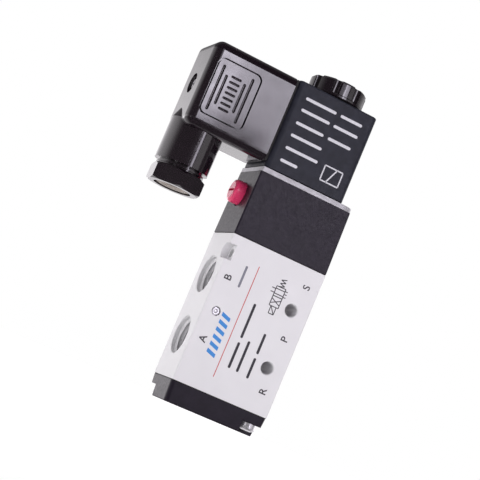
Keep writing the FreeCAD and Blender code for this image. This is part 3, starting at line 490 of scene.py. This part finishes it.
def letter(name, text, x, z, high_mm, material, face_y):
    """One upright letter whose reading direction is +Z."""
    curve = bpy.data.curves.new(name, "FONT")
    curve.body = text
    curve.size = high_mm * MM
    curve.offset = LETTER_WEIGHT
    curve.align_x = "CENTER"
    curve.align_y = "CENTER"
    curve.extrude = INK_THICK
    curve.resolution_u = 4
    shape = bpy.data.objects.new(name, curve)
    bpy.context.scene.collection.objects.link(shape)
    bpy.context.view_layer.update()
    mesh = bpy.data.meshes.new_from_object(shape.evaluated_get(bpy.context.evaluated_depsgraph_get()))
    bpy.data.objects.remove(shape)
    turn = Matrix(((0, -1, 0), (0, 0, -1), (1, 0, 0))).to_4x4()
    mesh.transform(Matrix.Translation((x * MM, face_y, z * MM)) @ turn)
    mesh.materials.clear()
    mesh.materials.append(material)
    piece = bpy.data.objects.new(name, mesh)
    bpy.context.scene.collection.objects.link(piece)
    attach(piece, "valve")


def valve_symbol(sheet, left, right, low, high):
    """The plain two-position, five-port symbol, read along +Z with its top towards -X."""
    thin = 0.3
    box = (high - low) / 3.6
    bottom = right - 1.2
    top = bottom - box
    first = low + box * 0.75
    for index in range(2):
        near, far = first + index * box, first + (index + 1) * box
        sheet.path([(bottom, near), (bottom, far), (top, far), (top, near), (bottom, near)], thin)
    for share in (0.25, 0.75):
        near, far = first + box * share, first + box * (1 - share)
        sheet.stroke((bottom, near), (top, far), thin)
        sheet.stroke((bottom, near + box), (top, near + box), thin)
    for share in (0.2, 0.5, 0.8):
        sheet.stroke((bottom, first + box * (1 + share)), (right - 0.2, first + box * (1 + share)), thin)
    for share in (0.3, 0.7):
        sheet.stroke((top, first + box * (1 + share)), (left, first + box * (1 + share)), thin)
    middle = (bottom + top) / 2
    coil_half = box * 0.28
    sheet.path([(middle + coil_half, first), (middle + coil_half, low), (middle - coil_half, low),
                (middle - coil_half, first)], thin)
    sheet.stroke((middle + coil_half, low), (middle - coil_half, first), thin)
    last = first + 2 * box
    step = (high - last) / 5
    zigzag = [(middle + coil_half * (1 if index % 2 else -1), last + step * index) for index in range(6)]
    sheet.path(zigzag, thin)


def body_printing():
    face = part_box("valve_body")[0][1]
    black = ink("black_ink", (0.035, 0.03, 0.04))
    blue = ink("blue_ink", (0.04, 0.24, 0.62))
    red = ink("red_ink", (0.55, 0.10, 0.10))
    grey = ink("grey_ink", (0.20, 0.20, 0.24))

    dark = Print("print_black", black, "valve", "pilot_plastic", face)
    ruled_text(dark, (-1.0, 17.6), (6, 8), 0.9, 1.5, True)
    ruled_text(dark, (2.1, 17.5), (8,), 0.9, 1.34, True)
    ruled_text(dark, (6.2, 16.9), (5, 5), 0.9, 1.42, True)
    valve_symbol(dark, 1.6, 7.6, 39.2, 51.4)
    dark.finish()

    for text, x, z in (("A", -13.3, 23.0), ("B", -13.5, 44.3), ("S", 12.9, 51.9), ("P", 12.7, 33.4),
                       ("R", 12.7, 15.0)):
        letter(f"port_letter_{text}", text, x, z, 3.5, black, face)

    line = Print("print_red_line", red, "valve", "override_red", face)
    line.bar(-5.25, -4.95, 13.1, 51.7)
    line.finish()

    small = Print("print_grey", grey, "valve", "pilot_plastic", face)
    ruled_text(small, (-8.6, 42.7), (5,), 0.8, 1.5, True)
    small.finish()

    emblem = Print("print_blue_emblem", blue, "valve", "pilot_plastic", face)
    low, step, lean = 18.6, 2.5, 1.1
    for index in range(6):
        start = low + index * step
        emblem.patch(((-7.3, start), (-7.3, start + 1.3), (-10.6, start + 1.3 + lean), (-10.6, start + lean)))
    emblem.finish()


def coil_printing():
    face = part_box("coil_housing")[0][1]
    white = ink("white_ink", (0.62, 0.62, 0.66))
    marks = Print("print_coil", white, "coil", "guide_plastic", face)
    rows = (
        (108.2, (7, 5), 1.68), (104.1, (7, 6), 1.56), (99.5, (6, 5), 1.76), (95.1, (7,), 1.68),
        (90.6, (7,), 1.75), (86.1, (4,), 1.6),
    )
    for z, words, advance in rows:
        ruled_text(marks, (-12.8, z), words, 1.0, advance, False)
    left, right, low, high = 2.4, 9.2, 86.4, 91.6
    wide = 0.45
    marks.path([(left, low), (right, low), (right, high), (left, high), (left, low)], wide)
    marks.stroke((left + 2.2, low), (right - 2.2, high), wide)
    marks.finish()


# ---- stage --------------------------------------------------------------------------

FLOOR_RADIUS = 0.45
FRONT_WALL_Y = -0.711
# How bright the room is for the light that falls on the valve, in front of it and behind it.
ROOM_DARK, ROOM_BRIGHT = 0.10, 1.35


def stage():
    rim = [(FLOOR_RADIUS * math.cos(math.radians(turn)), FLOOR_RADIUS * math.sin(math.radians(turn)), 0)
           for turn in range(0, 360, 5)]
    mesh = bpy.data.meshes.new("floor")
    mesh.from_pydata(rim, [], [tuple(range(len(rim)))])
    floor = bpy.data.objects.new("floor", mesh)
    bpy.context.scene.collection.objects.link(floor)
    paper = Surface("floor_paper", (0.88, 0.88, 0.88), 0.9, Specular_IOR_Level=0.1, Emission_Strength=0.5)
    paper.shader.inputs["Emission Color"].default_value = (1, 1, 1, 1)
    paper.relief(paper.noise(2.0), 0.02, 0.3)
    mesh.materials.append(paper.material)
    floor.visible_glossy = False

    world = bpy.data.worlds.new("studio")
    bpy.context.scene.world = world
    world.use_nodes = True
    tree = world.node_tree
    room = next(node for node in tree.nodes if node.type == "BACKGROUND")
    output = next(node for node in tree.nodes if node.type == "OUTPUT_WORLD")
    backdrop = tree.nodes.new("ShaderNodeBackground")
    backdrop.inputs["Color"].default_value = (1, 1, 1, 1)
    seen = tree.nodes.new("ShaderNodeLightPath")
    choose = tree.nodes.new("ShaderNodeMixShader")
    tree.links.new(seen.outputs["Is Camera Ray"], choose.inputs["Fac"])
    tree.links.new(room.outputs["Background"], choose.inputs[1])
    tree.links.new(backdrop.outputs["Background"], choose.inputs[2])
    tree.links.new(choose.outputs["Shader"], output.inputs["Surface"])

    direction = tree.nodes.new("ShaderNodeTexCoord")
    parts = tree.nodes.new("ShaderNodeSeparateXYZ")
    tree.links.new(direction.outputs["Generated"], parts.inputs["Vector"])
    depth = world_ramp(tree, parts.outputs["Y"], -0.35, 0.45, ROOM_DARK, ROOM_BRIGHT)
    height = world_ramp(tree, parts.outputs["Z"], 0.12, 0.34, 1.0, 0.12)
    horizon = world_ramp(tree, parts.outputs["Z"], 0.01, 0.10, 1.8, 1.0)
    below = world_ramp(tree, parts.outputs["Z"], -0.11, -0.01, 0.36, 1.0)
    strength = product(tree, product(tree, depth, height), product(tree, horizon, below))
    tree.links.new(strength, room.inputs["Strength"])
    room.inputs["Color"].default_value = (1, 0.97, 1, 1)
    bpy.context.scene.view_settings.view_transform = "Standard"


def product(tree, first, second):
    multiply = tree.nodes.new("ShaderNodeMath")
    multiply.operation = "MULTIPLY"
    tree.links.new(first, multiply.inputs[0])
    tree.links.new(second, multiply.inputs[1])
    return multiply.outputs["Value"]


def world_ramp(tree, value, start, end, low, high):
    """Goes smoothly from one brightness to another along a direction of the room."""
    ramp = tree.nodes.new("ShaderNodeMapRange")
    ramp.interpolation_type = "SMOOTHSTEP"
    ramp.inputs["From Min"].default_value = start
    ramp.inputs["From Max"].default_value = end
    ramp.inputs["To Min"].default_value = low
    ramp.inputs["To Max"].default_value = high
    tree.links.new(value, ramp.inputs["Value"])
    return ramp.outputs["Result"]


def softbox(name, target, direction, distance, size, radiance, tint=(1, 1, 1), mirrored=True):
    """A lamp of one brightness, turned to the target and unseen by the camera."""
    light = bpy.data.lights.new(name, "AREA")
    light.shape = "RECTANGLE"
    light.size, light.size_y = size
    light.energy = radiance * math.pi * size[0] * size[1]
    light.color = tint
    lamp = bpy.data.objects.new(name, light)
    outward = Vector(direction).normalized()
    lamp.location = target + outward * distance
    lamp.rotation_mode = "QUATERNION"
    lamp.rotation_quaternion = outward.to_track_quat("Z", "Y")
    lamp.visible_camera = False
    lamp.visible_glossy = mirrored
    bpy.context.scene.collection.objects.link(lamp)


def front_panel(name, target, x, z, size, radiance, tint):
    """A softbox on the wall in front of the valve, seen in the faces that look along -Y."""
    outward = Vector((x, FRONT_WALL_Y, z)) - target
    softbox(name, target, outward, outward.length, size, radiance, tint)


def lights(target):
    lilac = (0.98, 0.93, 1.06)
    pink = (1.0, 0.93, 1.0)
    pale = (1.0, 0.97, 1.0)
    softbox("overhead", target, (0.05, 0.1, 1), 0.9, (1.1, 1.1), 1.6, mirrored=False)
    front_panel("front_tall", target, 0.247, 0.125, (0.105, 0.41), 3.8, lilac)
    front_panel("front_upper", target, 0.135, 0.285, (0.11, 0.10), 3.8, lilac)
    front_panel("front_dim", target, -0.01, 0.33, (0.18, 0.18), 0.9, lilac)
    front_panel("front_spot", target, 0.115, 0.262, (0.06, 0.08), 4.0, lilac)
    softbox("front_fill", target, (0.2, -0.9, 0.2), 0.75, (0.5, 0.5), 2.0, pink, mirrored=False)
    softbox("front_left", target, (-0.75, -0.66, 0.12), 0.8, (0.3, 0.6), 1.2, pale, mirrored=False)
    softbox("left", target, (-1, 0.12, 0.35), 0.8, (0.22, 0.7), 2.0, pale, mirrored=False)
    softbox("left_fill", target, (-1, -0.3, 0.1), 0.8, (0.5, 0.5), 0.65, pale, mirrored=False)
    softbox("front_side", target, (0.6, -0.65, 0.08), 0.85, (0.42, 0.4), 0.6, pale)
    softbox("low_left", target, (-0.615, -0.54, -0.06), 0.8, (0.16, 0.08), 3.0, pale)


def camera(target):
    """The photographer's view: from the front left, just above the floor, rolled to the left."""
    azimuth, elevation, roll = math.radians(-17.4768), math.radians(-6.914), math.radians(22.9558)
    distance, lens = 0.46951, 106.17
    back = Vector((
        math.sin(azimuth) * math.cos(elevation),
        -math.cos(azimuth) * math.cos(elevation),
        math.sin(elevation),
    ))
    data = bpy.data.cameras.new("camera")
    data.lens = lens
    data.sensor_width = 36.0
    data.clip_start, data.clip_end = 0.01, 20.0
    view = bpy.data.objects.new("camera", data)
    view.location = target + back * distance
    right = Vector((math.cos(azimuth), math.sin(azimuth), 0))
    up = back.cross(right)
    tilted_right = right * math.cos(roll) + up * math.sin(roll)
    tilted_up = back.cross(tilted_right)
    view.rotation_mode = "QUATERNION"
    view.rotation_quaternion = Matrix((tilted_right, tilted_up, back)).transposed().to_quaternion()
    bpy.context.scene.collection.objects.link(view)
    bpy.context.scene.camera = view


middle = (cad_low + cad_high) / 2
camera(Vector((-11.303, 0, 58.319)) * MM)
lights(middle)
stage()
dress_nodes()
working_springs()
port_threads()
body_printing()
coil_printing()
